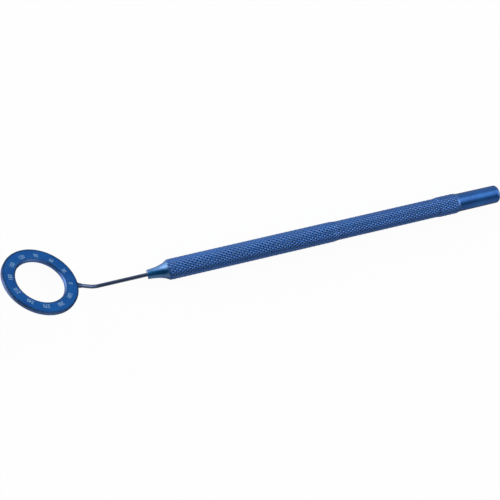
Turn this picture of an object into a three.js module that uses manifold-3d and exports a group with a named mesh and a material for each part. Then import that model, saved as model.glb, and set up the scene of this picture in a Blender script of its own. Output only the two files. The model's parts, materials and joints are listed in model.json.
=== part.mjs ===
// Degree gauge for eye surgery: a flat ring, marked in degrees, on a bent wire shaft in a slim
// round handle. Millimetres, +Z up. It is built along its handle, with the corner of the wire's
// bend at the origin and the tail towards +X, and is then rolled over to lie as it does on a
// table, on the handle's grip and one point of the ring's rim.
import * as THREE from 'three';
import { mergeVertices } from 'three/addons/utils/BufferGeometryUtils.js';
import Module from 'manifold-3d';

const wasm = await Module();
wasm.setup();

// Degree ring
const RING_BORE = 11.75;       // across the hole, which frames an 11.7 mm cornea
const RING_OUTER = 18;
const RING_THICK = 1;
const RING_BEVEL = 0.3;        // wider bevel from the marked face into the hole
const EDGE = 0.12;             // small chamfer on the ring's other edges and on the plugs

// Wire shaft
const WIRE = 0.9;
const REACH = 13.2;            // from the ring's centre to the corner of the bend
const BEND = THREE.MathUtils.degToRad(30);
const BEND_RADIUS = 4;
const SHANK_DEPTH = 6;         // how far the wire goes into the nose

// Weld collar, where the wire meets the ring's rim
const WELD_ROOT = 1.7;         // across the collar at the rim
const WELD_TIP = 1.08;         // across the collar where it runs out along the wire
const WELD_LENGTH = 0.9;
const WELD_HEIGHT = 1.06;      // the collar is dressed flat, just proud of the ring's faces

// Handle, as stations along +X from the corner of the bend
const NOSE_START = 12.6;
const NOSE_NECK_AT = 16.15;    // the corner that steers the nose's flare
const GRIP_START = 17.5;
const WAIST_START = 58.2;
const WAIST_END = 86.1;
const GRIP_END = 91.3;
const TAIL_END = 102.4;

// Handle, as diameters
const NOSE_FACE = 2.24;
const NOSE_SHOULDER = 4.76;
const NOSE_NECK = 2.6;         // where the two legs of the nose's flare meet
const GRIP = 5;
const WAIST = 4.7;
const TAIL = 4.5;
const TAIL_TIP = 4.4;
const TUBE_BORE = 3;

// Handle, as lengths along X
const NOSE_EDGE = 0.08;        // chamfer round the nose's face
const WAIST_FALL = 1.2;        // from the full grip down to the waist
const WAIST_RISE = 0.6;        // and back up, which is steeper
const GRIP_LEAD = 0.3;         // chamfer at the front of the grip
const GRIP_RUNOUT = 0.7;       // longer chamfer at its back
const NOSE_PLUG = 6;           // how far each plug goes into the tube
const TAIL_PLUG = 8;
const TAIL_CHAMFER = 0.55;

// Clearances and fineness
const WELD_GAP = 0.02;         // weld metal and wire end to the ring's rim
const FIT = 0.02;              // all round a plug or shank in its bore
const FACE_GAP = 0.03;         // between shoulders that butt together
const BLIND_GAP = 0.1;         // past the end of a shank or plug in its bore
const HANDLE_SIDES = 48;
const RING_SIDES = 96;
const WIRE_SIDES = 16;
const WIRE_STEPS = 56;
const RIM_SIDES = 360;         // of the disc that hollows the weld collar to the rim
const NOSE_FLARE_STEPS = 14;
const WELD_FLARE_STEPS = 6;
const CUT_MARGIN = 1;          // how far a cutting solid runs past what it cuts

const anodisedTitanium = (color, roughness) => (
  new THREE.MeshStandardMaterial({ color, roughness, metalness: 0.9 })
);

function piece(name, geometry, material) {
  const mesh = new THREE.Mesh(geometry, material);
  mesh.name = name;
  return mesh;
}

// Turn a profile of [station, radius] pairs about X. It runs towards +X along the outside.
function turnedAboutX(profile, sides) {
  const points = profile.map(([station, radius]) => new THREE.Vector2(radius, station));
  return new THREE.LatheGeometry(points, sides).rotateZ(-Math.PI / 2);
}

// Points of a curve that starts along one leg of start-corner-end and finishes along the other.
function flare(start, corner, end, divisions) {
  const [a, b, c] = [start, corner, end].map(([x, y]) => new THREE.Vector2(x, y));
  return new THREE.QuadraticBezierCurve(a, b, c).getPoints(divisions).map(({ x, y }) => [x, y]);
}

function toSolid(geometry) {
  const bare = geometry.clone();
  bare.deleteAttribute('normal');
  bare.deleteAttribute('uv');
  const merged = mergeVertices(bare);
  return new wasm.Manifold(new wasm.Mesh({
    numProp: 3,
    vertProperties: merged.attributes.position.array,
    triVerts: new Uint32Array(merged.index.array),
  }));
}

function toGeometry(solid) {
  const { vertProperties, triVerts } = solid.getMesh();
  const geometry = new THREE.BufferGeometry();
  geometry.setAttribute('position', new THREE.BufferAttribute(vertProperties, 3));
  geometry.setIndex(new THREE.BufferAttribute(triVerts, 1));
  geometry.computeVertexNormals();
  return geometry;
}

// The flat ring lies in its own XY plane, marked face up, with the shaft leaving towards +X.
function degreeRing() {
  const inner = RING_BORE / 2;
  const outer = RING_OUTER / 2;
  const half = RING_THICK / 2;
  const profile = [
    [inner + EDGE, -half],
    [outer - EDGE, -half],
    [outer, EDGE - half],
    [outer, half - EDGE],
    [outer - EDGE, half],
    [inner + RING_BEVEL, half],
    [inner, half - RING_BEVEL],
    [inner, EDGE - half],
    [inner + EDGE, -half],
  ];
  const points = profile.map(([radius, height]) => new THREE.Vector2(radius, height));
  const geometry = new THREE.LatheGeometry(points, RING_SIDES).rotateX(Math.PI / 2);
  return piece('degree_ring', geometry, anodisedTitanium(0x1c5aa8, 0.45));
}

// A flared collar of weld metal round the wire's end, hollowed to the rim and to the wire.
function weldCollar() {
  const rim = RING_OUTER / 2;
  const back = rim - WELD_LENGTH / 2;
  const tip = rim + WELD_LENGTH;
  const flareCorner = [rim + WELD_LENGTH / 4, WELD_TIP / 2];
  const outline = turnedAboutX([
    [back, 0],
    [back, WELD_ROOT / 2],
    ...flare([rim, WELD_ROOT / 2], flareCorner, [tip, WELD_TIP / 2], WELD_FLARE_STEPS),
    [tip, 0],
  ], WIRE_SIDES * 2);
  const clearOfCollar = WELD_ROOT + 2 * CUT_MARGIN;
  const slab = new THREE.BoxGeometry(2 * (WELD_LENGTH + CUT_MARGIN), clearOfCollar, WELD_HEIGHT);
  slab.translate(rim, 0, 0);
  const discRadius = rim + WELD_GAP;
  const ringDisc = new THREE.CylinderGeometry(discRadius, discRadius, clearOfCollar, RIM_SIDES);
  ringDisc.rotateX(Math.PI / 2);
  const wireRoom = turnedAboutX([
    [back - CUT_MARGIN, 0],
    [back - CUT_MARGIN, WIRE / 2 + FIT],
    [tip + CUT_MARGIN, WIRE / 2 + FIT],
    [tip + CUT_MARGIN, 0],
  ], WIRE_SIDES * 2);
  const collar = toSolid(outline)
    .intersect(toSolid(slab))
    .subtract(toSolid(ringDisc))
    .subtract(toSolid(wireRoom));
  return piece('weld_collar', toGeometry(collar), anodisedTitanium(0x1b4c8c, 0.5));
}

// One round wire: from the ring's rim, round the bend, and into the nose.
function bentShaft() {
  const towardsRing = new THREE.Vector3(-Math.cos(BEND), 0, Math.sin(BEND));
  const towardsTail = new THREE.Vector3(1, 0, 0);
  const tangentLength = BEND_RADIUS * Math.tan(BEND / 2);
  const rimEnd = towardsRing.clone().multiplyScalar(REACH - RING_OUTER / 2 - WELD_GAP);
  const bendStart = towardsRing.clone().multiplyScalar(tangentLength);
  const bendEnd = towardsTail.clone().multiplyScalar(tangentLength);
  const shankEnd = towardsTail.clone().multiplyScalar(NOSE_START + SHANK_DEPTH);
  const route = new THREE.CurvePath();
  route.add(new THREE.LineCurve3(rimEnd, bendStart));
  route.add(new THREE.QuadraticBezierCurve3(bendStart, new THREE.Vector3(), bendEnd));
  route.add(new THREE.LineCurve3(bendEnd, shankEnd));
  const section = new THREE.Shape().absarc(0, 0, WIRE / 2, 0, 2 * Math.PI);
  const geometry = new THREE.ExtrudeGeometry(section, {
    extrudePath: route,
    steps: WIRE_STEPS,
    curveSegments: WIRE_SIDES / 2,
    bevelEnabled: false,
  });
  return piece('bent_shaft', geometry, anodisedTitanium(0x16305e, 0.3));
}

// The flared nose: a blind bore for the wire in front, and a plug behind that fills the tube.
function noseCone() {
  const bore = WIRE / 2 + FIT;
  const boreEnd = NOSE_START + SHANK_DEPTH + BLIND_GAP;
  const shoulder = GRIP_START - FACE_GAP;
  const plug = TUBE_BORE / 2 - FIT;
  const plugEnd = GRIP_START + NOSE_PLUG;
  const face = [NOSE_START, NOSE_FACE / 2];
  const neck = [NOSE_NECK_AT, NOSE_NECK / 2];
  const geometry = turnedAboutX([
    [boreEnd, 0],
    [boreEnd, bore],
    [NOSE_START, bore],
    [NOSE_START, NOSE_FACE / 2 - NOSE_EDGE],
    [NOSE_START + NOSE_EDGE, NOSE_FACE / 2],
    ...flare(face, neck, [shoulder, NOSE_SHOULDER / 2], NOSE_FLARE_STEPS).slice(1),
    [shoulder, plug],
    [plugEnd - EDGE, plug],
    [plugEnd, plug - EDGE],
    [plugEnd, 0],
  ], HANDLE_SIDES);
  return piece('nose_cone', geometry, anodisedTitanium(0x2f6cba, 0.25));
}

// The grip: a tube with a shallow waist, open at both ends.
function handleTube() {
  const full = GRIP / 2;
  const bore = TUBE_BORE / 2;
  const geometry = turnedAboutX([
    [GRIP_START, bore],
    [GRIP_START, NOSE_SHOULDER / 2],
    [GRIP_START + GRIP_LEAD, full],
    [WAIST_START, full],
    [WAIST_START + WAIST_FALL, WAIST / 2],
    [WAIST_END - WAIST_RISE, WAIST / 2],
    [WAIST_END, full],
    [GRIP_END - GRIP_RUNOUT, full],
    [GRIP_END, TAIL / 2 + FACE_GAP],
    [GRIP_END, bore],
    [GRIP_START, bore],
  ], HANDLE_SIDES);
  return piece('handle_tube', geometry, anodisedTitanium(0x355f9f, 0.55));
}

// The smooth tail, with a plug in front that fills the back of the tube.
function tailCap() {
  const plug = TUBE_BORE / 2 - FIT;
  const plugStart = GRIP_END - TAIL_PLUG;
  const shoulder = GRIP_END + FACE_GAP;
  const geometry = turnedAboutX([
    [plugStart, 0],
    [plugStart, plug - EDGE],
    [plugStart + EDGE, plug],
    [shoulder, plug],
    [shoulder, TAIL / 2],
    [TAIL_END - TAIL_CHAMFER, TAIL_TIP / 2],
    [TAIL_END, TAIL_TIP / 2 - TAIL_CHAMFER],
    [TAIL_END, 0],
  ], HANDLE_SIDES);
  return piece('tail_cap', geometry, anodisedTitanium(0x2c60b0, 0.3));
}

// The roll, from lying flat, at which the rim of the ring just reaches the table under the grip.
// With s its sine, the ring's centre is at GRIP / 2 + lift s, its axis rises by cos(BEND) s, and
// its rim hangs below the centre by R sqrt(1 - (cos(BEND) s)^2) + e cos(BEND) s. Setting the rim's
// height to zero gives a quadratic in s.
function restingRoll() {
  const axisHeight = GRIP / 2;
  const rimRadius = RING_OUTER / 2;
  const lean = Math.cos(BEND);
  const rise = REACH * Math.sin(BEND) - (RING_THICK / 2 - EDGE) * lean;
  const a = rise ** 2 + (rimRadius * lean) ** 2;
  const b = 2 * axisHeight * rise;
  const c = axisHeight ** 2 - rimRadius ** 2;
  return Math.asin((-b + Math.sqrt(b * b - 4 * a * c)) / (2 * a));
}

const head = new THREE.Group();
head.position.set(-REACH * Math.cos(BEND), 0, REACH * Math.sin(BEND));
head.rotation.y = BEND;
head.add(degreeRing(), weldCollar());

const handle = new THREE.Group();
handle.add(noseCone(), handleTube(), tailCap());

const gauge = new THREE.Group();
gauge.add(head, bentShaft(), handle);
gauge.rotation.x = restingRoll() - Math.PI / 2;
gauge.updateMatrixWorld(true);

// Stand it on z = 0, with the middle of its footprint at the origin.
const box = new THREE.Box3().setFromObject(gauge, true);
const group = new THREE.Group();
group.add(gauge);
gauge.position.set(-(box.min.x + box.max.x) / 2, -(box.min.y + box.max.y) / 2, -box.min.z);

export default group;
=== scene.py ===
# %% [markdown]
# # A degree gauge for eye surgery
#
# The instrument is a flat titanium ring on a bent wire, carried by a slim knurled handle. The surgeon
# holds the ring over the eye, looks at the cornea through the hole, and reads an angle against the
# degrees that are marked round the ring.
#
# The design is loaded first, as a fixed frame. Its parts have the right sizes and places, but their
# round shapes are made of a few dozen flats, and polished metal would show every one. So each part is
# made again here as a fine surface, in exactly the place of the plain one, and then gets its finish.

import json
import math

import bmesh
import bpy
import numpy as np
from mathutils import Matrix, Vector


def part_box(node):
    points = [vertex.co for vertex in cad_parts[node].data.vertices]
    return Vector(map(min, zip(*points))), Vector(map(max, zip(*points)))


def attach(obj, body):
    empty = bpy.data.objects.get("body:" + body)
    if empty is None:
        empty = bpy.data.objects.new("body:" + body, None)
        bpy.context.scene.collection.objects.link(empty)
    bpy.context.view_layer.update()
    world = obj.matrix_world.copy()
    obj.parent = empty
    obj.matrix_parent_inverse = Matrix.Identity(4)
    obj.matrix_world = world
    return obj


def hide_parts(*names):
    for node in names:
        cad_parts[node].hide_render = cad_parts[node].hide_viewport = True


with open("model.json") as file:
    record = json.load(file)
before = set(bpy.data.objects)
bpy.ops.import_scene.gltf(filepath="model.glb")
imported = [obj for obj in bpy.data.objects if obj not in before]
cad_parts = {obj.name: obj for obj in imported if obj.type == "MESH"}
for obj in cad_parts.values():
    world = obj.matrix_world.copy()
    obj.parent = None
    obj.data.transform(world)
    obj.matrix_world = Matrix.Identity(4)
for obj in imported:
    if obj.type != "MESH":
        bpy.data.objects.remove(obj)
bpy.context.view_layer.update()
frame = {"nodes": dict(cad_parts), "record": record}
record = frame["record"]
MM = 0.001                       # one millimetre, in metres
print("parts in the design:", ", ".join(sorted(frame["nodes"])))

# %% [markdown]
# ## The camera
#
# The instrument lies on a table and is seen from nearly straight above, from a hand's span away, with
# the ring on the left and the handle rising to the right. A camera can be placed by its three angles,
# but those are hard to read. Here it is placed in the words that one would use across the table: the
# point that it looks at, how high and from which side, how far away, and which way the top of the
# picture points.

# %% Place the camera
AIM = Vector((-3.35, -4.75, 0)) * MM          # on the table, in the middle of the picture
CAMERA_DISTANCE = 235.0 * MM
CAMERA_HEIGHT = math.radians(76.22)           # above the table, as an angle seen from the aim
CAMERA_SIDE = math.radians(143.63)            # from +X towards +Y
PICTURE_TOP = math.radians(11.60)             # from +Y towards +X
LENS = 70.34                                  # mm, on a sensor 36 mm wide

towards_camera = Vector((
    math.cos(CAMERA_HEIGHT) * math.cos(CAMERA_SIDE),
    math.cos(CAMERA_HEIGHT) * math.sin(CAMERA_SIDE),
    math.sin(CAMERA_HEIGHT),
))
top_heading = Vector((math.sin(PICTURE_TOP), math.cos(PICTURE_TOP), 0))
right = top_heading.cross(towards_camera).normalized()
up = towards_camera.cross(right)

camera = bpy.data.objects.new("camera", bpy.data.cameras.new("camera"))
camera.data.lens = LENS
camera.data.sensor_width = 36
camera.data.clip_start = 0.01
camera.matrix_world = Matrix((right, up, towards_camera)).transposed().to_4x4()
camera.location = AIM + towards_camera * CAMERA_DISTANCE
bpy.context.scene.collection.objects.link(camera)
bpy.context.scene.camera = camera
print("camera at", [round(c / MM, 1) for c in camera.location], "mm")

# %% [markdown]
# ## Where the ring and the handle are
#
# Every piece is worked out in millimetres in a small frame of its own, where its formula is simple, and
# is then carried to its place. The handle's frame starts at the corner of the wire's bend, with x along
# the handle. The ring's frame starts at the ring's centre: x points along the wire to the handle, and z
# comes out of the marked face. Both are read off the design: the centres from the parts' boxes, and the
# ring's lean from the direction that its marked face looks in.

# %% Measures of the design, in millimetres
RING_BORE = 11.75
RING_OUTER = 18.0
RING_THICK = 1.0
RING_BEVEL = 0.3                 # from the marked face into the hole
EDGE = 0.12                      # chamfer on the ring's other edges
WIRE = 0.9
REACH = 13.2                     # from the ring's centre to the corner of the bend
BEND = math.radians(30)
BEND_RADIUS = 4.0
SHANK_DEPTH = 6.0                # wire inside the nose
NOSE_START = 12.6                # stations, from the corner of the bend along the handle
NOSE_NECK_AT = 16.15
GRIP_START = 17.5
WAIST_START = 58.2
WAIST_END = 86.1
GRIP_END = 91.3
TAIL_END = 102.4
NOSE_FACE = 2.24                 # diameters
NOSE_NECK = 2.6
NOSE_SHOULDER = 4.76
GRIP = 5.0
WAIST = 4.7
TAIL = 4.5
TAIL_TIP = 4.4
TUBE_BORE = 3.0
FIT = 0.02                       # clearance all round where one part sits in another
GAP = 0.03                       # and between faces that butt together

# %% The two frames
def middle(node):
    """The centre of a part's box, in millimetres."""
    low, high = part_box(node)
    return (np.array(low) + np.array(high)) / 2 / MM


marked_face = next(m for m in record["mounts"] if m["name"] == "ring_marked_face")
ring_z = np.array(marked_face["axis"]) / np.linalg.norm(marked_face["axis"])
handle_x = np.array((1.0, 0, 0))
ring_x = handle_x - (handle_x @ ring_z) * ring_z
ring_x = ring_x / np.linalg.norm(ring_x)
RING_AXES = np.array((ring_x, np.cross(ring_z, ring_x), ring_z))
RING_CENTRE = middle("degree_ring")

nose_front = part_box("nose_cone")[0].x / MM
HANDLE_AXES = np.eye(3)
HANDLE_ORIGIN = np.array((nose_front - NOSE_START, *middle("handle_tube")[1:]))
print("ring centre", RING_CENTRE.round(3), "bend corner", HANDLE_ORIGIN.round(3))

# %% [markdown]
# ## Tools for making surfaces
#
# A turned part is a profile swung round an axis, and a wire is a circle carried along a path. Both come
# down to a grid of points: one direction of the grid runs along the profile, and the other goes round.
# numpy works out the whole grid at once, so each shape below is a formula, not a loop over points.
#
# Real edges are never perfectly sharp, and it is the small rounding on them that catches the light. So
# profiles have their corners softened first.

# %% Profiles
def softened(corners, reach, closed=False, steps=5):
    """Rounds the corners of a profile. A corner becomes the short curve
    corner + reach * ((1 - s)^2 * step_back + s^2 * step_on), where s runs from 0 to 1, step_back is the
    unit step to the corner before and step_on the unit step to the corner after. reach is one length
    for all corners, or one for each."""
    corners = np.asarray(corners, float)
    reach = np.broadcast_to(reach, len(corners))[:, None, None]
    back = np.roll(corners, 1, axis=0) - corners
    on = np.roll(corners, -1, axis=0) - corners
    back /= np.linalg.norm(back, axis=1, keepdims=True)
    on /= np.linalg.norm(on, axis=1, keepdims=True)
    s = np.linspace(0, 1, steps)[None, :, None]
    curves = corners[:, None] + reach * ((1 - s) ** 2 * back[:, None] + s ** 2 * on[:, None])
    if closed:
        return curves.reshape(-1, 2)
    return np.concatenate((corners[:1], curves[1:-1].reshape(-1, 2), corners[-1:]))


def divided(profile, spacing, closed=False):
    """Adds points along a profile, at every multiple of spacing, and keeps the ones it has."""
    loop = np.concatenate((profile, profile[:1])) if closed else profile
    walked = np.concatenate(([0], np.cumsum(np.linalg.norm(np.diff(loop, axis=0), axis=1))))
    stops = np.unique(np.concatenate((walked, np.arange(0, walked[-1], spacing))).round(5))
    stops = stops[:-1] if closed else stops
    return np.stack([np.interp(stops, walked, loop[:, k]) for k in range(2)], axis=1)


def edge_wear(profile, corners, width):
    """1 on a corner, fading as exp(-(distance / width)^2) to 0 on the open faces. The distance is to
    the nearest of the corners."""
    distance = np.linalg.norm(profile[:, None] - np.asarray(corners, float)[None], axis=2).min(axis=1)
    return np.exp(-((distance / width) ** 2))


# %% Grids of points and their faces
def grid_faces(rows, columns, rows_close):
    """Quads between neighbouring rows and columns of a grid. Columns always close on themselves."""
    row = np.arange(rows if rows_close else rows - 1)[:, None]
    column = np.arange(columns)[None]
    after = (column + 1) % columns
    below = (row + 1) % rows
    corners = (row * columns + column, row * columns + after, below * columns + after,
               below * columns + column)
    return np.stack(np.broadcast_arrays(*corners), axis=-1).reshape(-1, 4)


def about_x(profile, sides):
    """Turns (station, radius) rows about x: (station, radius * cos(turn), radius * sin(turn))."""
    turn = np.linspace(0, 2 * np.pi, sides, endpoint=False)
    station, radius = profile[:, :1], profile[:, 1:]
    return np.stack(np.broadcast_arrays(station, radius * np.cos(turn), radius * np.sin(turn)), axis=-1)


def about_z(profile, sides):
    """Turns (radius, height) rows about z: (radius * cos(turn), radius * sin(turn), height)."""
    turn = np.linspace(0, 2 * np.pi, sides, endpoint=False)
    radius, height = profile[:, :1], profile[:, 1:]
    return np.stack(np.broadcast_arrays(radius * np.cos(turn), radius * np.sin(turn), height), axis=-1)


# %% From a grid to a finished piece
MERGE = 1e-4 * MM                # points closer than this are one point


def finish_piece(piece, slot, *replaced):
    """Rides the piece on the one body and hides the plain part it stands for. slot is not used."""
    bpy.context.scene.collection.objects.link(piece)
    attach(piece, "root")
    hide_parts(*replaced)


def surface(name, points, faces, axes, origin, **finish):
    """Makes a mesh object from points in millimetres, at origin + points * axes. Points that fall
    together are merged, which closes the poles, and the faces are turned outwards. finish holds values
    for the material to read, one per point, under the names wear and turned."""
    mesh = bpy.data.meshes.new(name)
    placed = (origin + points.reshape(-1, 3) @ axes) * MM
    mesh.from_pydata(placed, [], faces.tolist())
    for label, values in finish.items():
        values = np.broadcast_to(values, points.shape[:-1]).ravel().astype(np.float32)
        mesh.attributes.new(label, "FLOAT", "POINT").data.foreach_set("value", values)
    shell = bmesh.new()
    shell.from_mesh(mesh)
    bmesh.ops.remove_doubles(shell, verts=shell.verts, dist=MERGE)
    if shell.calc_volume(signed=True) < 0:
        bmesh.ops.reverse_faces(shell, faces=shell.faces)
    print(f"{name}: {len(shell.faces)} faces, {shell.calc_volume() / MM ** 3:.2f} mm3,",
          "closed" if all(e.is_manifold for e in shell.edges) else "OPEN")
    shell.to_mesh(mesh)
    shell.free()
    mesh.shade_smooth()
    return bpy.data.objects.new(name, mesh)


# %% [markdown]
# ## The ring
#
# The ring is turned from plate and its faces are blasted to an even satin, so that the theatre lamp
# doesn't glare off them. It is a closed profile swung about z. The edge between the marked face and the
# hole has a wider bevel, which lets the surgeon look past it at the very edge of the cornea.
#
# Two values go with each point, for the material to read. The first is 1 along the edges of the marked
# face, where the colour is darkened as painted shade, a dark outline, and fades away from them. turned is
# 0 on the blasted faces and 1 on the walls, which stay bright from the lathe. Points every tenth of a
# millimetre make both run smoothly.

# %% Make the ring
RING_SIDES = 360
SOFT = 0.04                      # how far from a corner its rounding starts
PROFILE_STEP = 0.1
RIM_SHADE_FADE = 0.28                  # how far the painted shade, a dark outline, reaches from the rim
BEVEL_SHADE_FADE = 0.12                 # and from the bevel

bore = RING_BORE / 2
rim = RING_OUTER / 2
face = RING_THICK / 2
ring_corners = [
    (bore + EDGE, -face), (rim - EDGE, -face), (rim, EDGE - face), (rim, face - EDGE),
    (rim - EDGE, face), (bore + RING_BEVEL, face), (bore, face - RING_BEVEL), (bore, EDGE - face),
]
ring_profile = divided(softened(ring_corners, SOFT, closed=True), PROFILE_STEP, closed=True)
# painted shade: the colour darkens towards the rim's edge and the bevel's edge, a dark outline round the
# marked face
rim_shade = edge_wear(ring_profile, [(rim - EDGE, face)], RIM_SHADE_FADE)
bevel_shade = edge_wear(ring_profile, [(bore + RING_BEVEL, face)], BEVEL_SHADE_FADE)
ring_wear = np.maximum(rim_shade, bevel_shade)
ring_turned = np.clip((face - np.abs(ring_profile[:, 1])) / EDGE, 0, 1)
ring = surface(
    "ring_body", about_z(ring_profile, RING_SIDES),
    grid_faces(len(ring_profile), RING_SIDES, rows_close=True),
    RING_AXES, RING_CENTRE, wear=ring_wear[:, None], turned=ring_turned[:, None],
)
finish_piece(ring, "ring_titanium", "degree_ring")

# %% [markdown]
# ## The degree marks
#
# A laser writes the marks: it frosts the metal and leaves only a thin, pale film on it. They could be
# painted on by the material, but real geometry stays sharp at any distance and can be exported. So each
# mark is a closed plate a few thousandths of a millimetre proud of the face.
#
# Numbers stand every 30 degrees, with their feet towards the hole and 0 next to the wire. Blender's own
# font is set as text, made a mesh, and only then carried to its place round the ring.

# %% Number marks
NUMBER_STEP = 30                 # degrees between numbers
NUMBER_HEIGHT = 1.0              # millimetres
NUMBER_FOOT = 6.67               # radius at the foot of the numbers
NUMBER_WIDTH = 0.8               # engraved figures are narrower than printed ones
BOLD = 0.018                     # the outline is pushed out by this, as a share of the text's size
CURVE_STEPS = 3                  # straight pieces to each curve of a letter's outline
MARK_PROUD = 0.008
MARK_DEPTH = 0.03


def text_mesh(words):
    """The words as a closed flat mesh, centred on x = 0, with feet at y = 0 and one unit tall."""
    text = bpy.data.curves.new("label", "FONT")
    text.body = words
    text.align_x = "CENTER"
    text.extrude = 1 / 2
    text.offset = BOLD
    text.resolution_u = CURVE_STEPS
    holder = bpy.data.objects.new("label", text)
    mesh = bpy.data.meshes.new_from_object(holder)
    bpy.data.objects.remove(holder)
    bpy.data.curves.remove(text)
    corners = np.empty(len(mesh.vertices) * 3)
    mesh.vertices.foreach_get("co", corners)
    low, high = corners[1::3].min(), corners[1::3].max()
    mesh.transform(Matrix.Diagonal((1 / (high - low),) * 2 + (1, 1)) @ Matrix.Translation((0, -low, 0)))
    return mesh


def row_matrix(axes, origin):
    """A local frame in millimetres, as a matrix that Blender's own meshes can be moved by."""
    place = Matrix.Translation(Vector(origin) * MM)
    return place @ Matrix(axes.tolist()).transposed().to_4x4() @ Matrix.Scale(MM, 4)


numbers = bmesh.new()
thickness = MARK_PROUD + MARK_DEPTH
for degrees in range(0, 360, NUMBER_STEP):
    label = text_mesh(str(degrees))
    label.transform(Matrix.Diagonal((NUMBER_HEIGHT * NUMBER_WIDTH, NUMBER_HEIGHT, thickness, 1)))
    label.transform(Matrix.Translation((0, NUMBER_FOOT, face + MARK_PROUD - thickness / 2)))
    label.transform(Matrix.Rotation(math.radians(degrees - 90), 4, "Z"))
    label.transform(row_matrix(RING_AXES, RING_CENTRE))
    numbers.from_mesh(label)
    bpy.data.meshes.remove(label)
bmesh.ops.remove_doubles(numbers, verts=numbers.verts, dist=MERGE)
bmesh.ops.recalc_face_normals(numbers, faces=numbers.faces)
number_mesh = bpy.data.meshes.new("degree_numbers")
numbers.to_mesh(number_mesh)
print(f"degree_numbers: {len(numbers.faces)} faces,",
      "closed" if all(e.is_manifold for e in numbers.edges) else "OPEN")
numbers.free()
number_marks = bpy.data.objects.new("degree_numbers", number_mesh)
finish_piece(number_marks, "laser_marking")

# %% [markdown]
# Between the numbers and the bevel run fine graduations, one every 5 degrees, longer at each 10 and
# longest at each 30. Every one is the same small box, stretched and turned to its angle, so the eight
# corners of all 72 boxes come out of one array.

# %% Graduation marks
TICK_STEP = 5
TICK_GAP = 0.04                  # from the bevel to the foot of a graduation
TICK_FOOT = bore + RING_BEVEL + TICK_GAP
TICK_WIDTH = 0.035
SHORT, LONG, LONGEST = 0.14, 0.22, 0.30

angle = np.arange(0, 360, TICK_STEP)
length = np.where(angle % (2 * TICK_STEP) == 0, LONG, SHORT)
length = np.where(angle % NUMBER_STEP == 0, LONGEST, length)
outward = np.array((0, 1, 1, 0, 0, 1, 1, 0))
across = np.array((-1, -1, 1, 1, -1, -1, 1, 1)) * TICK_WIDTH / 2
height = face + np.where(np.arange(8) < 4, MARK_PROUD - thickness, MARK_PROUD)
radius = TICK_FOOT + outward * length[:, None]
cosine, sine = np.cos(np.radians(angle))[:, None], np.sin(np.radians(angle))[:, None]
tick_points = np.stack(np.broadcast_arrays(
    radius * cosine - across * sine, radius * sine + across * cosine, height), axis=-1)
box_faces = np.array((
    (0, 3, 2, 1), (4, 5, 6, 7), (0, 1, 5, 4), (1, 2, 6, 5), (2, 3, 7, 6), (3, 0, 4, 7)))
tick_faces = (np.arange(len(angle))[:, None, None] * 8 + box_faces).reshape(-1, 4)
ticks = surface("degree_ticks", tick_points, tick_faces, RING_AXES, RING_CENTRE)
ticks.data.shade_flat()
finish_piece(ticks, "laser_marking")

# %% [markdown]
# ## The wire
#
# One straight piece of round wire, bent once over a former. The path is worked out in the plane of the
# bend: a straight leg to the ring, a true arc, and a straight leg into the nose. Because the path stays
# in that plane, the circle carried along it never twists: one direction of the circle is the path's
# normal in the plane, and the other is the direction square to the plane.

# %% Make the wire
WIRE_SIDES = 40
RING_LEG_STEPS = 12
ARC_STEPS = 24
NOSE_LEG_STEPS = 40
WELD_GAP = 0.02                  # between the wire's end or the weld and the ring's rim

tangent = BEND_RADIUS * math.tan(BEND / 2)       # from the corner to where the arc starts
wire_end = REACH - rim - WELD_GAP
arc_turn = np.linspace(-BEND, 0, ARC_STEPS)
arc = np.stack((tangent + BEND_RADIUS * np.sin(arc_turn), BEND_RADIUS * (1 - np.cos(arc_turn))), axis=1)
ring_leg = np.linspace(wire_end, tangent, RING_LEG_STEPS)[:, None] * (-math.cos(BEND), math.sin(BEND))
nose_leg = np.linspace(tangent, NOSE_START + SHANK_DEPTH, NOSE_LEG_STEPS)[:, None] * (1, 0)
path = np.concatenate((ring_leg[:-1], arc, nose_leg[1:]))
heading = np.gradient(path, axis=0)
heading /= np.linalg.norm(heading, axis=1, keepdims=True)

plane_x = HANDLE_AXES[0]
plane_y = (plane_x * math.cos(BEND) - ring_x) / math.sin(BEND)
plane_z = np.cross(plane_x, plane_y)
turn = np.linspace(0, 2 * np.pi, WIRE_SIDES, endpoint=False)[None, :, None]
centre = path[:, :1] * plane_x + path[:, 1:] * plane_y
normal = -heading[:, 1:] * plane_x + heading[:, :1] * plane_y
skin = centre[:, None] + WIRE / 2 * (np.cos(turn) * normal[:, None] + np.sin(turn) * plane_z)
start_pole = np.broadcast_to(centre[:1, None], (1, WIRE_SIDES, 3))
end_pole = np.broadcast_to(centre[-1:, None], (1, WIRE_SIDES, 3))
wire_points = np.concatenate((start_pole, skin, end_pole))
wire = surface(
    "shaft_wire", wire_points, grid_faces(len(wire_points), WIRE_SIDES, rows_close=False),
    np.eye(3), HANDLE_ORIGIN, wear=0.0,
)
finish_piece(wire, "wire_titanium", "bent_shaft")

# %% [markdown]
# ## The weld bead
#
# The wire is welded to the rim and the weld is dressed to a small trumpet. Its section is an ellipse: as
# wide as the weld at the rim, but hardly thicker than the ring, and almost a circle where it runs out
# along the wire. The root isn't flat. It follows the rim, so each point of the root sits at the x where
# a line at its own y meets the rim's circle. Faint ripples are what the welder's pulses leave.

# %% Make the weld bead
WELD_ROOT = 1.7
WELD_TIP = 1.08
WELD_LENGTH = 0.9
WELD_HEIGHT = 1.06
RIPPLES = 5
RIPPLE_HEIGHT = 0.01
BEAD_SIDES = 72
BEAD_STEPS = 31

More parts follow.
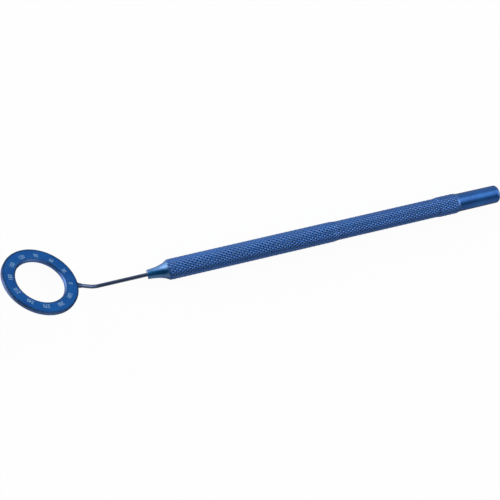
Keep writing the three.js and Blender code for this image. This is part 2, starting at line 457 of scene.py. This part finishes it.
s = np.linspace(0, 1, BEAD_STEPS)[:, None]
turn = np.linspace(0, 2 * np.pi, BEAD_SIDES, endpoint=False)
ripple = RIPPLE_HEIGHT * (np.cos(2 * np.pi * RIPPLES * s) - 1) * (1 - s)
half_width = ((1 - s) ** 2 * WELD_ROOT + (1 - (1 - s) ** 2) * WELD_TIP) / 2 + ripple
half_height = np.minimum(half_width, WELD_HEIGHT / 2 + ripple)
bead_y = half_width * np.cos(turn)
bead_z = half_height * np.sin(turn)
root_x = np.sqrt((rim + WELD_GAP) ** 2 - bead_y ** 2)
bead_x = (1 - s) ** 2 * root_x + 2 * s * (1 - s) * (rim + WELD_LENGTH / 4) + s ** 2 * (rim + WELD_LENGTH)
bore_y = np.broadcast_to((WIRE / 2 + FIT) * np.cos(turn), (2, BEAD_SIDES))
bore_z = np.broadcast_to((WIRE / 2 + FIT) * np.sin(turn), (2, BEAD_SIDES))
bore_root = np.sqrt((rim + WELD_GAP) ** 2 - bore_y[0] ** 2)
bore_x = np.stack((np.full(BEAD_SIDES, rim + WELD_LENGTH), bore_root))
bead_points = np.concatenate((
    np.stack((bead_x, bead_y, bead_z), axis=-1), np.stack((bore_x, bore_y, bore_z), axis=-1)))
bead = surface(
    "weld_bead", bead_points, grid_faces(len(bead_points), BEAD_SIDES, rows_close=True),
    RING_AXES, RING_CENTRE, wear=0.0,
)
finish_piece(bead, "weld_titanium", "weld_collar")

# %% [markdown]
# ## The nose
#
# The nose is turned bright and flares from the wire out to the grip. Its outline is one smooth curve
# with its slope growing all the way, which is what makes the bright highlight at the shoulder.
# Inside, it has a blind bore for the wire, and behind the shoulder a plug that fills the tube.

# %% Make the nose
TURNED_SIDES = 144
NOSE_EDGE = 0.08
BLIND_GAP = 0.1
NOSE_PLUG = 6.0
NOSE_FADE = 0.1                  # how far the wear reaches from the nose's edges


def flare(start, corner, end, steps=40):
    """A curve that leaves start towards corner and reaches end from corner:
    (1 - s)^2 * start + 2 * s * (1 - s) * corner + s^2 * end."""
    s = np.linspace(0, 1, steps)[:, None]
    return (1 - s) ** 2 * np.array(start) + 2 * s * (1 - s) * np.array(corner) + s ** 2 * np.array(end)


nose_bore = WIRE / 2 + FIT
bore_end = NOSE_START + SHANK_DEPTH + BLIND_GAP
shoulder = GRIP_START - GAP
plug = TUBE_BORE / 2 - FIT
plug_end = GRIP_START + NOSE_PLUG
nose_front_edge = softened(
    [(bore_end, 0), (bore_end, nose_bore), (NOSE_START, nose_bore),
     (NOSE_START, NOSE_FACE / 2 - NOSE_EDGE), (NOSE_START + NOSE_EDGE, NOSE_FACE / 2)], SOFT / 2)
nose_flare = flare(
    (NOSE_START + NOSE_EDGE, NOSE_FACE / 2), (NOSE_NECK_AT, NOSE_NECK / 2),
    (shoulder, NOSE_SHOULDER / 2))
nose_back = [(shoulder, plug), (plug_end - EDGE, plug), (plug_end, plug - EDGE), (plug_end, 0)]
nose_profile = np.concatenate((nose_front_edge, nose_flare[1:], nose_back))
nose_edges = [(NOSE_START, NOSE_FACE / 2), (shoulder, NOSE_SHOULDER / 2)]
nose_wear = edge_wear(nose_profile, nose_edges, NOSE_FADE)
nose = surface(
    "nose_turning", about_x(nose_profile, TURNED_SIDES),
    grid_faces(len(nose_profile), TURNED_SIDES, rows_close=False),
    HANDLE_AXES, HANDLE_ORIGIN, wear=nose_wear[:, None],
)
finish_piece(nose, "turned_titanium", "nose_cone")

# %% [markdown]
# ## The knurled grip
#
# Two wheels with slanting teeth are pressed into the spinning tube and cut two families of grooves, one
# winding left and one right. What stands between them is a field of small diamonds with four sloping
# sides, and the fingers hold those.
#
# A bump map would look right face on and wrong at the outline, where real knurling makes the edge
# rough. So the diamonds are real. On the unrolled tube, with u counting teeth round it and v counting
# teeth along it, the grooves lie where u + v or u - v is a whole number. The height at a point is its
# distance from the nearer groove. The grid is laid so that every groove runs along the diagonals of its
# squares, and each square is cut along that diagonal, which keeps the grooves perfectly sharp.
#
# The lathe turns the two chamfers after the knurling, so they cut the diamonds' tops off: the radius is
# the smaller of the knurled one and the chamfered one. Fingers rub the tops pale, and the same pale
# colour also stands for the glint on each top, a painted highlight. It is a high power of the height: 1
# on a top, and nearly 0 a little way down.

# %% Make the knurled grip
TEETH_ROUND = 20
TEETH_ALONG = 62
STEPS_PER_TOOTH = 6
KNURL_DEPTH = 0.12
CREST = 1.4                      # above 1, the diamonds' tops are rounded over
CREST_WEAR_AND_GLINT = 5                   # the higher, the closer to the very tops the worn colour and painted highlight stay
WAIST_FALL = 1.2                 # along the handle, from the full grip down to the waist
WAIST_RISE = 0.6                 # and back up
GRIP_LEAD = 0.3                  # chamfer at the front
GRIP_RUNOUT = 0.7                # chamfer at the back


def from_groove(phase):
    """0 in a groove, where the phase is a whole number, and 1 half way between two grooves."""
    return 2 * np.abs(phase - np.round(phase))


rows = TEETH_ALONG * STEPS_PER_TOOTH + 1
sides = TEETH_ROUND * STEPS_PER_TOOTH
v = np.arange(rows)[:, None] / STEPS_PER_TOOTH
u = np.arange(sides)[None] / STEPS_PER_TOOTH
station = GRIP_START + (GRIP_END - GRIP_START) * v / TEETH_ALONG
crest = 1 - (1 - np.minimum(from_groove(u + v), from_groove(u - v))) ** CREST
full, slim = GRIP / 2, WAIST / 2
blank = np.interp(
    station, (WAIST_START, WAIST_START + WAIST_FALL, WAIST_END - WAIST_RISE, WAIST_END),
    (full, slim, slim, full))
chamfer = np.interp(
    station, (GRIP_START, GRIP_START + GRIP_LEAD, GRIP_END - GRIP_RUNOUT, GRIP_END),
    (NOSE_SHOULDER / 2, full, full, TAIL / 2 + GAP))
knurled = np.minimum(blank - KNURL_DEPTH * (1 - crest), chamfer)
inside = np.full((2, sides), TUBE_BORE / 2)
radius = np.concatenate((knurled, inside))
station = np.concatenate((station, [[GRIP_END], [GRIP_START]]))
turn = 2 * np.pi * u / TEETH_ROUND
grip_points = np.stack(np.broadcast_arrays(station, radius * np.cos(turn), radius * np.sin(turn)), -1)

quads = grid_faces(len(radius), sides, rows_close=True)
row, column = np.divmod(np.arange(len(quads)), sides)
other_way = ((row + column + 1) % STEPS_PER_TOOTH == 0)[:, None]
first = np.where(other_way, quads[:, (0, 1, 3)], quads[:, (0, 1, 2)])
second = np.where(other_way, quads[:, (1, 2, 3)], quads[:, (0, 2, 3)])
# pale tops: worn metal and a painted highlight, the glint on each diamond's top
grip_wear = np.concatenate((crest ** CREST_WEAR_AND_GLINT, np.zeros((2, sides))))
grip = surface(
    "grip_knurling", grip_points, np.concatenate((first, second)), HANDLE_AXES, HANDLE_ORIGIN,
    wear=grip_wear)
grip.data.shade_flat()
finish_piece(grip, "knurled_titanium", "handle_tube")

# %% [markdown]
# ## The tail
#
# The tail is a plain turned plug, a little thinner than the grip and tapering slightly. Its end is
# chamfered and then rounded over by polishing, so that it doesn't catch on the tray.

# %% Make the tail
TAIL_PLUG = 8.0
TAIL_CHAMFER = 0.55
POLISHED = 0.3                   # how far from the chamfer's two corners their rounding starts
POLISHED_STEPS = 9
TAIL_FADE = 0.15                 # how far the wear reaches from the tail's edges

plug_start = GRIP_END - TAIL_PLUG
tail_shoulder = GRIP_END + GAP
tail_corners = [
    (plug_start, 0), (plug_start, plug - EDGE), (plug_start + EDGE, plug), (tail_shoulder, plug),
    (tail_shoulder, TAIL / 2), (TAIL_END - TAIL_CHAMFER, TAIL_TIP / 2),
    (TAIL_END, TAIL_TIP / 2 - TAIL_CHAMFER), (TAIL_END, 0),
]
tail_soft = np.full(len(tail_corners), SOFT)
tail_soft[5:7] = POLISHED
tail_profile = divided(softened(tail_corners, tail_soft, steps=POLISHED_STEPS), 2 * PROFILE_STEP)
tail_wear = edge_wear(tail_profile, tail_corners[4:7], TAIL_FADE)
tail = surface(
    "tail_turning", about_x(tail_profile, TURNED_SIDES),
    grid_faces(len(tail_profile), TURNED_SIDES, rows_close=False),
    HANDLE_AXES, HANDLE_ORIGIN, wear=tail_wear[:, None],
)
finish_piece(tail, "turned_titanium", "tail_cap")

# %% [markdown]
# ## The finishes
#
# Anodised titanium isn't painted. A clear film of oxide, a fraction of a micron thick, lets the metal
# shine through and colours it by interference. In the shader that is a metal with a blue base colour
# under a thin clear coat: the metal gives broad blue reflections, and the coat a small white glint.
#
# What makes it look real is what varies: the film's thickness drifts over a few millimetres, and its
# colour with it; the blasting or the lathe leaves a fine texture; on the handle's edges the film wears
# thin and the pale metal comes through, and on the knurl's tops that pale colour is also a painted
# highlight; and along the ring's edges the colour is darkened as painted shade, a dark outline. The
# drift and the texture read the object's own coordinates, and the rest reads the values that the
# piece's points were given: one for worn edges and painted light, and turned.

# %% Small helpers for shader nodes
def new_material(name):
    """A material with nodes: itself, its tree, its shader and the object's own coordinates."""
    material = bpy.data.materials.new(name)
    material.use_nodes = True
    tree = material.node_tree
    place = tree.nodes.new("ShaderNodeTexCoord").outputs["Object"]
    return material, tree, tree.nodes["Principled BSDF"], place


def join(tree, source, socket):
    """Lets one node's output drive another's input."""
    tree.links.new(source, socket)


def point_value(tree, label):
    """One of the values that a piece's points were given."""
    made = tree.nodes.new("ShaderNodeAttribute")
    made.attribute_name = label
    return made.outputs["Fac"]


def noise(tree, vector, scale, detail=2.0, roughness=0.5):
    """A soft random field from 0 to 1, with scale features per metre."""
    made = tree.nodes.new("ShaderNodeTexNoise")
    made.inputs["Scale"].default_value = scale
    made.inputs["Detail"].default_value = detail
    made.inputs["Roughness"].default_value = roughness
    join(tree, vector, made.inputs["Vector"])
    return made.outputs["Fac"]


def between(tree, factor, low, high, from_low=0.3, from_high=0.7):
    """Stretches a factor from one range to another."""
    made = tree.nodes.new("ShaderNodeMapRange")
    made.inputs["From Min"].default_value = from_low
    made.inputs["From Max"].default_value = from_high
    made.inputs["To Min"].default_value = low
    made.inputs["To Max"].default_value = high
    join(tree, factor, made.inputs["Value"])
    return made.outputs["Result"]


def blend_colours(tree, factor, first, second):
    """Mixes two colours. Each is a colour or another node's output."""
    made = tree.nodes.new("ShaderNodeMix")
    made.data_type = "RGBA"
    join(tree, factor, made.inputs["Factor"])
    for name, colour in (("A", first), ("B", second)):
        socket = next(i for i in made.inputs if i.name == name and i.type == "RGBA")
        if isinstance(colour, tuple):
            socket.default_value = (*colour, 1)
        else:
            join(tree, colour, socket)
    return next(o for o in made.outputs if o.type == "RGBA")


def times(tree, first, second):
    """first * second. Each is a number or another node's output."""
    made = tree.nodes.new("ShaderNodeMath")
    made.operation = "MULTIPLY"
    for socket, value in zip(made.inputs, (first, second)):
        if isinstance(value, (int, float)):
            socket.default_value = value
        else:
            join(tree, value, socket)
    return made.outputs["Value"]


def stretched(tree, vector, scale):
    """Coordinates times scale, axis by axis: a larger scale packs a pattern closer along that axis."""
    made = tree.nodes.new("ShaderNodeMapping")
    made.inputs["Scale"].default_value = scale
    join(tree, vector, made.inputs["Vector"])
    return made.outputs["Vector"]


# %% The anodised finish
FILM_BLUE = (0.014, 0.180, 0.620)
FILM_DEEP = (0.008, 0.118, 0.480)
# pale metal where edges are worn; on the knurl's tops it is also a painted highlight
WORN_METAL_AND_GLINT = (0.30, 0.50, 0.80)
# painted shade: the dark navy outline along the ring's edges
EDGE_SHADE_NAVY = (0.010, 0.055, 0.170)
OXIDE_INDEX = 2.3                # refractive index of titanium oxide
DRIFT = 260                      # features per metre: of the film's thickness
EDGE_PATCHES = 1500                   # of how patchy the worn edges and the painted light on edges are
SHEEN = 900                      # and of how rough the metal is


def anodised(
        name, blue, deep, polish, coat, gloss, lay, bump, wear=0.0, edge_tone=WORN_METAL_AND_GLINT,
        turned_coat=None):
    """Blue anodised titanium. The film's colour wanders between blue and deep, and the metal's roughness
    between the two values of polish. coat is the weight of the clear film's own shine and gloss that
    shine's roughness; where points say that they are turned, turned_coat takes the place of coat. lay
    is the fine texture's features per metre along each axis and bump its depth in millimetres. wear is
    how far the marked edges go over to edge_tone, patchily: pale where they are worn and, on the knurl's
    tops, a painted highlight too; on the ring, a darker painted shade."""
    material, tree, shader, place = new_material(name)
    drift = between(tree, noise(tree, place, DRIFT), 0, 1)
    film = blend_colours(tree, drift, blue, deep)
    patchy = between(tree, noise(tree, place, EDGE_PATCHES, 3), 0.3, 1)
    # painted light: on the ring this darkens the edges as painted shade, and on the knurl it pales the
    # tops as a painted highlight as well as wear
    wear_and_light_mix = times(tree, times(tree, point_value(tree, "wear"), patchy), wear)
    join(tree, blend_colours(tree, wear_and_light_mix, film, edge_tone), shader.inputs["Base Color"])

    shine = between(tree, noise(tree, place, SHEEN, 3), *polish)
    join(tree, shine, shader.inputs["Roughness"])

    texture = noise(tree, stretched(tree, place, lay), 1.0, 3, 0.6)
    relief = tree.nodes.new("ShaderNodeBump")
    relief.inputs["Strength"].default_value = 1.0
    relief.inputs["Distance"].default_value = bump * MM
    join(tree, texture, relief.inputs["Height"])
    join(tree, relief.outputs["Normal"], shader.inputs["Normal"])

    shader.inputs["Metallic"].default_value = 1.0
    shader.inputs["Coat Weight"].default_value = coat
    if turned_coat is not None:
        bright = between(tree, point_value(tree, "turned"), coat, turned_coat, 0, 1)
        join(tree, bright, shader.inputs["Coat Weight"])
    shader.inputs["Coat Roughness"].default_value = gloss
    shader.inputs["Coat IOR"].default_value = OXIDE_INDEX
    return material


def dress(piece, material):
    """Gives a piece the one material that it wears all over."""
    piece.data.materials.clear()
    piece.data.materials.append(material)
    print(f"{piece.name} wears {material.name}")


# %% [markdown]
# The pieces differ in how they were finished before they were anodised. The ring's faces are blasted:
# even, fine and matt. Its walls, the nose, the tail and the wire are turned or drawn bright, and on the
# last three faint lines run round the piece or along it. The knurling is left as the wheels made it. The
# weld is duller and deeper in colour, because the film grows thicker on metal that has been hot.

# %% Dress the metal pieces
# the ring's edges go over to dark navy: painted shade, a dark outline
dress(ring, anodised(
    "blasted_blue", FILM_BLUE, FILM_DEEP, polish=(0.42, 0.5), coat=0.07, gloss=0.3,
    lay=(9000, 9000, 9000), bump=0.004, wear=1.5, edge_tone=EDGE_SHADE_NAVY, turned_coat=0.6))
dress(bead, anodised(
    "weld_blue", (0.008, 0.090, 0.30), (0.012, 0.060, 0.22), polish=(0.4, 0.5), coat=0.3, gloss=0.2,
    lay=(5000, 5000, 5000), bump=0.006))
dress(wire, anodised(
    "drawn_blue", (0.012, 0.082, 0.28), (0.010, 0.070, 0.23), polish=(0.20, 0.26), coat=0.8,
    gloss=0.08, lay=(600, 12000, 12000), bump=0.001))
dress(nose, anodised(
    "turned_blue", (0.010, 0.240, 0.67), (0.008, 0.208, 0.59), polish=(0.42, 0.48), coat=0.8, gloss=0.06,
    lay=(16000, 300, 300), bump=0.0012, wear=0.4))
dress(tail, anodised(
    "turned_soft_blue", FILM_BLUE, FILM_DEEP, polish=(0.30, 0.36), coat=0.25, gloss=0.16,
    lay=(16000, 300, 300), bump=0.0012, wear=0.4))
# the knurl's tops go pale: worn metal and a painted highlight
dress(grip, anodised(
    "knurled_blue", (0.006, 0.155, 0.60), (0.005, 0.124, 0.51), polish=(0.30, 0.38), coat=0.32,
    gloss=0.12, lay=(9000, 9000, 9000), bump=0.002, wear=1.5))

# %% [markdown]
# A laser mark is frosted metal under a thin film: pale blue, matt, and slightly uneven, because the beam
# goes over it in overlapping dots.

# %% Dress the marks
LASER_DOTS = 14000               # per metre
FROST_DIM = (0.19, 0.40, 0.68)
FROST_PALE = (0.32, 0.54, 0.80)


def laser_marked(name):
    """Frosted metal that wanders between two pale blues."""
    material, tree, shader, place = new_material(name)
    dots = noise(tree, place, LASER_DOTS, 1)
    pale = blend_colours(tree, between(tree, dots, 0, 1), FROST_DIM, FROST_PALE)
    join(tree, pale, shader.inputs["Base Color"])
    join(tree, between(tree, dots, 0.5, 0.7), shader.inputs["Roughness"])
    shader.inputs["Metallic"].default_value = 0.3
    return material


marking = laser_marked("laser_frost")
dress(number_marks, marking)
dress(ticks, marking)

# %% [markdown]
# ## The table
#
# A plain white table, wide enough to reach the horizon in a low view. Nearly all its white is its own
# glow, as on a light table, so that it stays even and only a very faint shadow sits under the instrument.
# The metal doesn't mirror it. What the metal sees below is set in the surroundings instead, where it can
# be dim enough to keep the instrument's outline dark against the white.

# %% Make the table
TABLE_HALF = 4.0                 # metres
TABLE_GLOW = 0.955
TABLE_GREY = (0.08, 0.08, 0.08, 1)             # what it adds by the lamps' light
WHITE = (1, 1, 1, 1)

table_corners = np.array(((-1, -1, 0), (1, -1, 0), (1, 1, 0), (-1, 1, 0))) * TABLE_HALF
table_mesh = bpy.data.meshes.new("table")
table_mesh.from_pydata(table_corners, [], [(0, 1, 2, 3)])
table = bpy.data.objects.new("table", table_mesh)
bpy.context.scene.collection.objects.link(table)
table.visible_glossy = False

table_white = bpy.data.materials.new("table_white")
table_white.use_nodes = True
table_shader = table_white.node_tree.nodes["Principled BSDF"]
table_shader.inputs["Base Color"].default_value = TABLE_GREY
table_shader.inputs["Roughness"].default_value = 0.9
table_shader.inputs["Specular IOR Level"].default_value = 0.0
table_shader.inputs["Emission Color"].default_value = WHITE
table_shader.inputs["Emission Strength"].default_value = TABLE_GLOW
table_mesh.materials.append(table_white)

# %% [markdown]
# ## The light
#
# Two soft boxes do the work. The key box hangs high beyond the tail and draws the long highlight down the
# handle. The window box stands low beyond the ring and lights the nose's flare. The rest of the room is
# dim, and polished metal needs that: its dark bands are the dim room mirrored in it.
#
# The surroundings are a sum of soft patches, each a smooth bump round one direction. Metal shows
# what lies where it reflects, so each patch is put in the direction that one surface mirrors. The camera
# itself sees only plain white behind the table.

# %% Soft boxes
LIGHT_DISTANCE = 0.8             # metres


def soft_box(name, towards, width, height, brightness):
    """A rectangular light that faces the instrument, width by height metres. brightness is how white it
    looks when it is mirrored, so its power is brightness * pi * area."""
    light = bpy.data.lights.new(name, "AREA")
    light.shape = "RECTANGLE"
    light.size = width
    light.size_y = height
    light.energy = brightness * math.pi * width * height
    box = bpy.data.objects.new(name, light)
    direction = Vector(towards).normalized()
    box.location = direction * LIGHT_DISTANCE
    box.rotation_euler = direction.to_track_quat("Z", "Y").to_euler()
    box.visible_camera = False
    bpy.context.scene.collection.objects.link(box)
    print(f"{name}: {light.energy:.2f} W")


soft_box("key_box", (0.50, 0.46, 0.74), 0.45, 0.40, 0.5)
soft_box("window_box", (-0.62, 0.76, 0.22), 0.50, 0.40, 1.05)

# %% The surroundings
ROOM = 0.02                      # brightness where there is no patch
WALL_GREY = (0.8, 0.8, 0.8, 1)
BACKDROP = (0.975, 0.975, 0.975, 1)

world = bpy.data.worlds.new("studio")
world.use_nodes = True
bpy.context.scene.world = world
sky = world.node_tree
sky.nodes.clear()
direction = sky.nodes.new("ShaderNodeTexCoord").outputs["Generated"]


def patch(towards, spread, brightness):
    """A soft patch of light: brightness * smoothstep of the cosine between a view direction and
    towards, from the cosine of spread (in degrees) up to 1."""
    dot = sky.nodes.new("ShaderNodeVectorMath")
    dot.operation = "DOT_PRODUCT"
    join(sky, direction, dot.inputs[0])
    dot.inputs[1].default_value = Vector(towards).normalized()
    ramp = sky.nodes.new("ShaderNodeMapRange")
    ramp.interpolation_type = "SMOOTHSTEP"
    ramp.inputs["From Min"].default_value = math.cos(math.radians(spread))
    ramp.inputs["To Max"].default_value = brightness
    join(sky, dot.outputs["Value"], ramp.inputs["Value"])
    return ramp.outputs["Result"]


glow = None
for towards, spread, brightness in (
    ((-0.62, 0.78, 0.14), 48, 1.5),       # the window beyond the nose
    ((0.55, 0.83, -0.05), 60, 0.58),      # the far wall and table, mirrored in the ring's face
    ((0.52, 0.39, 0.76), 40, 0.70),       # the key
    ((-0.90, 0.05, -0.42), 34, 1.25),     # the near table, mirrored in the ring's rim
    ((0.90, 0.04, 0.40), 38, 1.6),        # a lamp on the right, for the bevel
    ((0.10, -0.99, 0.12), 58, 0.48),      # the near wall
    ((-0.30, 0.75, -0.60), 36, 0.7),      # the far table, mirrored along the upper edges
    ((0.0, 0.0, -1.0), 80, 0.20),         # the table right below
    ((0.41, -0.45, 0.78), 38, 0.12),      # the ceiling on the near side
    ((-0.80, -0.60, 0.03), 36, 0.45),     # the near wall on the left, mirrored in the ring's rim
):
    add = sky.nodes.new("ShaderNodeMath")
    add.operation = "ADD"
    join(sky, patch(towards, spread, brightness), add.inputs[0])
    if glow is None:
        add.inputs[1].default_value = ROOM
    else:
        join(sky, glow, add.inputs[1])
    glow = add.outputs["Value"]

room = sky.nodes.new("ShaderNodeBackground")
room.inputs["Color"].default_value = WALL_GREY
join(sky, glow, room.inputs["Strength"])
white = sky.nodes.new("ShaderNodeBackground")
white.inputs["Color"].default_value = BACKDROP
seen = sky.nodes.new("ShaderNodeMixShader")
join(sky, sky.nodes.new("ShaderNodeLightPath").outputs["Is Camera Ray"], seen.inputs["Fac"])
join(sky, room.outputs["Background"], seen.inputs[1])
join(sky, white.outputs["Background"], seen.inputs[2])
join(sky, seen.outputs["Shader"], sky.nodes.new("ShaderNodeOutputWorld").inputs["Surface"])

# %% [markdown]
# The picture is shown as the numbers say, without a film curve, so that white stays white and the blue
# keeps its depth.

# %% Picture
bpy.context.scene.view_settings.view_transform = "Standard"
bpy.context.scene.view_settings.look = "None"
